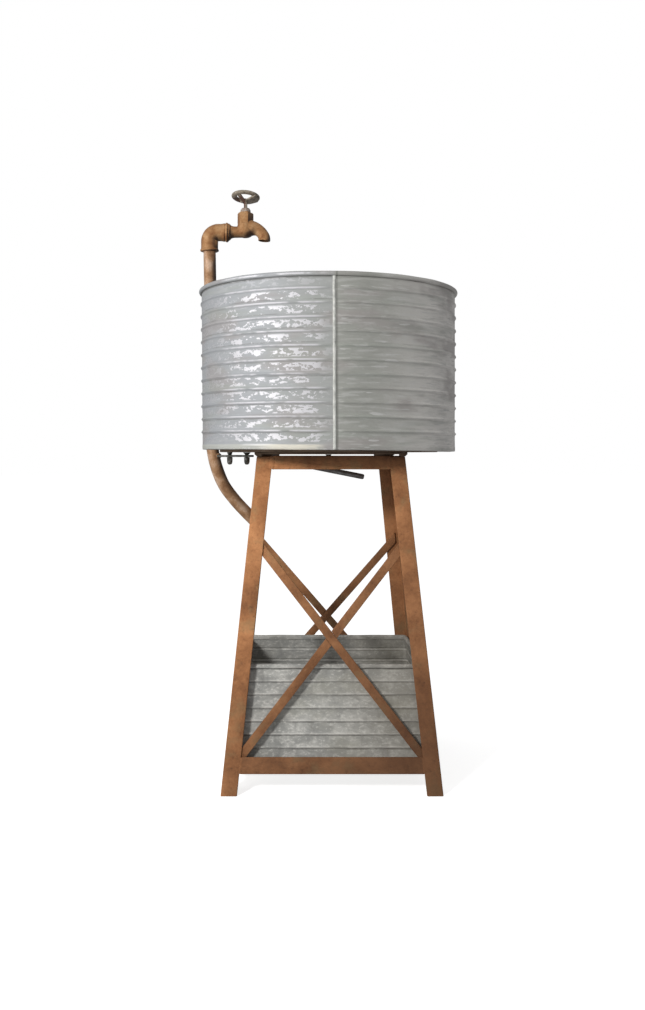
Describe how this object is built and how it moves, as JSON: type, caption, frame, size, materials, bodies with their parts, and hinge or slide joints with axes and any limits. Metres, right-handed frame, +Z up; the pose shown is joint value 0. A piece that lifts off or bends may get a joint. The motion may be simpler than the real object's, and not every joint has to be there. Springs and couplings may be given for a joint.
{
  "type": "garden water tank on stand",
  "caption": "Round ribbed metal tub on a splayed angle-iron stand with crossed braces, a ribbed trough below, and a bent pipe with elbow and bib tap above.",
  "frame": {"origin": "centre of the bounding box on the floor, under the middle of the tub and stand", "axes": "+Z up, +X to the viewer's right, +Y to the back, so the front with the crossed braces and the tub's seam faces -Y"},
  "size_m": [0.4405, 0.4288, 0.981],
  "materials": {
    "galvanised_sheet": "galvanised sheet, weathered and streaked",
    "rusted_steel": "bare steel with an even brown rust",
    "aged_pipe": "brown patina, worn smooth",
    "aged_brass": "cast brass with a brown patina",
    "dark_iron": "dark oxidised iron"
  },
  "bodies": {
    "tank_stand": {"leg_front_left": "rusted_steel", "leg_front_right": "rusted_steel", "leg_back_right": "rusted_steel", "leg_back_left": "rusted_steel", "top_rail_front": "rusted_steel", "top_rail_right": "rusted_steel", "top_rail_back": "rusted_steel", "top_rail_left": "rusted_steel", "bottom_rail_front": "rusted_steel", "bottom_rail_right": "rusted_steel", "bottom_rail_back": "rusted_steel", "bottom_rail_left": "rusted_steel", "brace_front_long": "rusted_steel", "brace_front_upper": "rusted_steel", "brace_front_lower": "rusted_steel", "brace_back_long": "rusted_steel", "brace_back_upper": "rusted_steel", "brace_back_lower": "rusted_steel", "seat_bar_front": "rusted_steel", "seat_bar_right": "rusted_steel", "seat_bar_back": "rusted_steel", "seat_bar_left": "rusted_steel", "seat_spacer_front": "dark_iron", "seat_spacer_back": "dark_iron", "tub_base": "dark_iron", "tub_wall": "galvanised_sheet", "tub_floor": "galvanised_sheet", "tub_seam": "galvanised_sheet", "drain_spout": "galvanised_sheet", "trough_front": "galvanised_sheet", "trough_right": "galvanised_sheet", "trough_back": "galvanised_sheet", "trough_left": "galvanised_sheet", "trough_floor": "galvanised_sheet", "riser_pipe": "aged_pipe", "pipe_elbow": "aged_pipe", "tap_body": "aged_brass", "tap_bonnet": "aged_brass", "gland_nut": "aged_brass", "pipe_bracket": "rusted_steel", "bracket_bolt_outer": "dark_iron", "bracket_bolt_inner": "dark_iron"},
    "tap_wheel": {"tap_stem": "dark_iron", "handwheel": "dark_iron"}
  },
  "joints": [
    {"name": "wheel_turn", "type": "hinge", "parent": "tank_stand", "child": "tap_wheel", "pos_m": [-0.1439, 0.10396, 0.9738], "axis": [0, 0.1736, 0.9848], "range_deg": [0, 540]}
  ]
}
